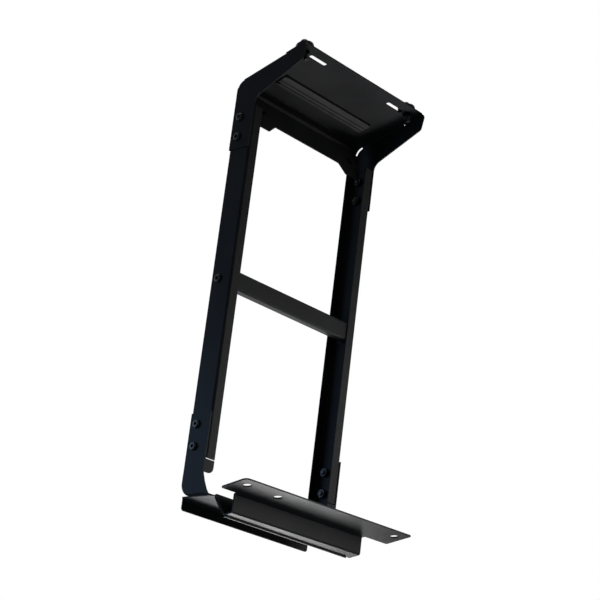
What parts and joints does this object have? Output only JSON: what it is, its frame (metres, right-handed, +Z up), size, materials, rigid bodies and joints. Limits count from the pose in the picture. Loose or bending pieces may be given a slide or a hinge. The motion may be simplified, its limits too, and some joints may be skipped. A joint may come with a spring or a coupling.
{
  "type": "vehicle ladder",
  "caption": "Folded-steel ladder that hangs from a roof rack at the side of a vehicle, with a rung, a step and a bracket to the sill.",
  "frame": {"origin": "middle of the slot row on the upper face of the mounting plate, where it bolts up against the roof rack", "axes": "+Z up, out of the mounting face; -Y towards the vehicle; +X to the right seen from the vehicle"},
  "size_m": [0.3791, 0.3423, 0.7448],
  "materials": {
    "black_powder_coat": "fine textured satin",
    "black_rubber": "satin",
    "dark_zinc_steel": "dark plated"
  },
  "bodies": {
    "root": {"left_stile": "black_powder_coat", "right_stile": "black_powder_coat", "left_arm": "black_powder_coat", "right_arm": "black_powder_coat", "top_plate": "black_powder_coat", "ribbed_strip": "black_rubber", "rung": "black_powder_coat", "left_lower_bracket": "black_powder_coat", "right_lower_bracket": "black_powder_coat", "step": "black_powder_coat", "lower_mount": "black_powder_coat", "left_upper_arm_bolt": "dark_zinc_steel", "left_upper_arm_nut": "dark_zinc_steel", "left_lower_arm_bolt": "dark_zinc_steel", "left_lower_arm_nut": "dark_zinc_steel", "left_rung_bolt": "dark_zinc_steel", "left_rung_nut": "dark_zinc_steel", "left_upper_bracket_bolt": "dark_zinc_steel", "left_upper_bracket_nut": "dark_zinc_steel", "left_lower_bracket_bolt": "dark_zinc_steel", "left_lower_bracket_nut": "dark_zinc_steel", "left_corner_bolt": "dark_zinc_steel", "left_corner_clamp": "dark_zinc_steel", "left_corner_nut": "dark_zinc_steel", "right_upper_arm_bolt": "dark_zinc_steel", "right_upper_arm_nut": "dark_zinc_steel", "right_lower_arm_bolt": "dark_zinc_steel", "right_lower_arm_nut": "dark_zinc_steel", "right_rung_bolt": "dark_zinc_steel", "right_rung_nut": "dark_zinc_steel", "right_upper_bracket_bolt": "dark_zinc_steel", "right_upper_bracket_nut": "dark_zinc_steel", "right_lower_bracket_bolt": "dark_zinc_steel", "right_lower_bracket_nut": "dark_zinc_steel", "right_corner_bolt": "dark_zinc_steel", "right_corner_clamp": "dark_zinc_steel", "right_corner_nut": "dark_zinc_steel"}
  },
  "joints": []
}
